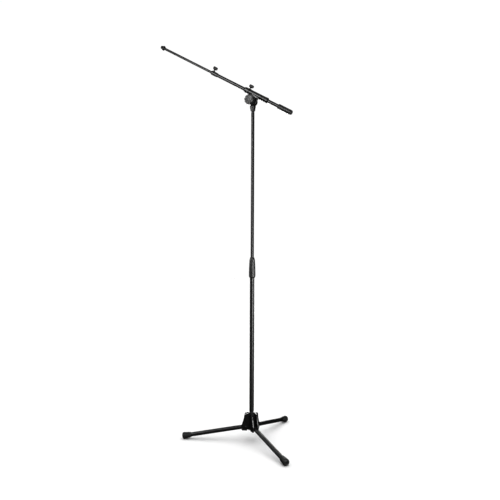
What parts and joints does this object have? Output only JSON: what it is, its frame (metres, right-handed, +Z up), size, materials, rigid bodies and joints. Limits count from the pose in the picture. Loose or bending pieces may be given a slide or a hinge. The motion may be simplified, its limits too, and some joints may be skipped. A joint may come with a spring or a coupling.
{
  "type": "boom microphone stand",
  "caption": "Folding tripod microphone stand with a telescopic column, a friction swivel and a telescopic boom that ends in a threaded stud.",
  "frame": {"origin": "on the floor, on the column's axis, midway between the three feet", "axes": "+Z up the column, -X towards the boom's tip, -Y towards the swivel's knob"},
  "size_m": [0.7837, 0.569, 1.9956],
  "materials": {
    "hub_casting": "black paint over a cast surface",
    "black_tube": "semi-gloss black powder coat",
    "swivel_casting": "satin black die casting",
    "black_plastic": "moulded black plastic",
    "nylon": "black nylon",
    "friction_fibre": "brown pressed fibre",
    "rubber": "matt black rubber",
    "zinc_steel": "zinc-plated steel",
    "thread_black": "blackened steel"
  },
  "bodies": {
    "base": {"hub": "hub_casting", "leg_pins": "hub_casting", "leg_clamp_disc": "black_tube", "hub_bolt": "thread_black", "lower_tube": "black_tube", "lower_tube_plug": "zinc_steel", "thread_sleeve": "zinc_steel"},
    "leg_1": {"leg_tube_1": "black_tube", "leg_root_1": "swivel_casting", "foot_cap_1": "rubber"},
    "leg_2": {"leg_tube_2": "black_tube", "leg_root_2": "swivel_casting", "foot_cap_2": "rubber"},
    "leg_3": {"leg_tube_3": "black_tube", "leg_root_3": "swivel_casting", "foot_cap_3": "rubber"},
    "mast_bush": {"mast_guide_bush": "nylon"},
    "column": {"upper_tube": "black_tube", "upper_tube_stop": "zinc_steel", "upper_tube_insert": "zinc_steel", "swivel_base": "swivel_casting", "friction_disc": "friction_fibre", "clutch_bolt": "zinc_steel"},
    "height_collet": {"height_collet": "nylon"},
    "height_grip": {"height_grip": "black_plastic"},
    "boom_holder": {"boom_holder": "swivel_casting", "sleeve_liners": "nylon"},
    "clutch_washer": {"clutch_washer": "zinc_steel"},
    "clutch_knob": {"clutch_knob": "black_plastic", "knob_insert": "zinc_steel"},
    "boom_rod": {"boom_outer_tube": "black_tube", "boom_clamp_ring": "swivel_casting", "rear_grip": "rubber"},
    "boom_pad": {"boom_pad": "nylon"},
    "boom_screw": {"boom_screw_shank": "thread_black", "boom_screw_head": "black_plastic"},
    "inner_bush": {"inner_guide_bush": "nylon"},
    "boom_extension": {"boom_inner_tube": "black_tube", "inner_tube_stop": "zinc_steel", "tip_insert": "zinc_steel", "thread_adapter": "thread_black"},
    "extension_pad": {"extension_pad": "nylon"},
    "extension_screw": {"extension_screw_shank": "thread_black", "extension_screw_head": "black_plastic"}
  },
  "joints": [
    {"name": "leg_1_fold", "type": "hinge", "parent": "base", "child": "leg_1", "pos_m": [-0.02559, -0.00861, 0.0685], "axis": [-0.319, 0.9478, 0], "range_deg": [0, 99.2]},
    {"name": "leg_2_fold", "type": "hinge", "parent": "base", "child": "leg_2", "pos_m": [0.00534, 0.02647, 0.0685], "axis": [0.9803, -0.1977, 0], "range_deg": [0, 99.2]},
    {"name": "leg_3_fold", "type": "hinge", "parent": "base", "child": "leg_3", "pos_m": [0.02025, -0.01785, 0.0685], "axis": [-0.6613, -0.7501, 0], "range_deg": [0, 99.2]},
    {"name": "height_slide", "type": "slide", "parent": "base", "child": "mast_bush", "axis": [0, 0, 1], "range_m": [-0.6, 0.02]},
    {"name": "column_pan", "type": "hinge", "parent": "mast_bush", "child": "column", "pos_m": [0, 0, 1], "axis": [0, 0, 1], "continuous": true},
    {"name": "height_collet_slide", "type": "slide", "parent": "base", "child": "height_collet", "axis": [0, 0, 1], "range_m": [0, 0.00225]},
    {"name": "height_grip_turn", "type": "hinge", "parent": "height_collet", "child": "height_grip", "pos_m": [0, 0, 0.85], "axis": [0, 0, 1], "range_deg": [0, 270]},
    {"name": "boom_tilt", "type": "hinge", "parent": "column", "child": "boom_holder", "pos_m": [0, 0, 1.649], "axis": [0, 1, 0], "range_deg": [-120, 59.5]},
    {"name": "clutch_washer_slide", "type": "slide", "parent": "column", "child": "clutch_washer", "axis": [0, -1, 0], "range_m": [0, 0.0025]},
    {"name": "clutch_knob_turn", "type": "hinge", "parent": "clutch_washer", "child": "clutch_knob", "pos_m": [0, 0, 1.649], "axis": [0, -1, 0], "range_deg": [0, 720]},
    {"name": "boom_slide", "type": "slide", "parent": "boom_holder", "child": "boom_rod", "axis": [-0.866, 0, 0.5], "range_m": [-0.165, 0.06]},
    {"name": "boom_pad_slide", "type": "slide", "parent": "boom_holder", "child": "boom_pad", "axis": [0.5, 0, 0.866], "range_m": [0, 0.002]},
    {"name": "boom_screw_turn", "type": "hinge", "parent": "boom_pad", "child": "boom_screw", "pos_m": [-0.02011, 0, 1.70218], "axis": [0.5, 0, 0.866], "range_deg": [0, 720]},
    {"name": "extension_slide", "type": "slide", "parent": "boom_rod", "child": "inner_bush", "axis": [-0.866, 0, 0.5], "range_m": [-0.3, 0.02]},
    {"name": "extension_turn", "type": "hinge", "parent": "inner_bush", "child": "boom_extension", "pos_m": [-0.32841, 0, 1.88018], "axis": [-0.866, 0, 0.5], "continuous": true},
    {"name": "extension_pad_slide", "type": "slide", "parent": "boom_rod", "child": "extension_pad", "axis": [0.5, 0, 0.866], "range_m": [0, 0.002]},
    {"name": "extension_screw_turn", "type": "hinge", "parent": "extension_pad", "child": "extension_screw", "pos_m": [-0.21583, 0, 1.81518], "axis": [0.5, 0, 0.866], "range_deg": [0, 720]}
  ],
  "couplings": [
    {"joint": "height_collet_slide", "follows": "height_grip_turn", "m_per_rad": 0.00047746},
    {"joint": "clutch_washer_slide", "follows": "clutch_knob_turn", "m_per_rad": 0.00019894},
    {"joint": "boom_pad_slide", "follows": "boom_screw_turn", "m_per_rad": 0.00015915},
    {"joint": "extension_pad_slide", "follows": "extension_screw_turn", "m_per_rad": 0.00015915}
  ]
}
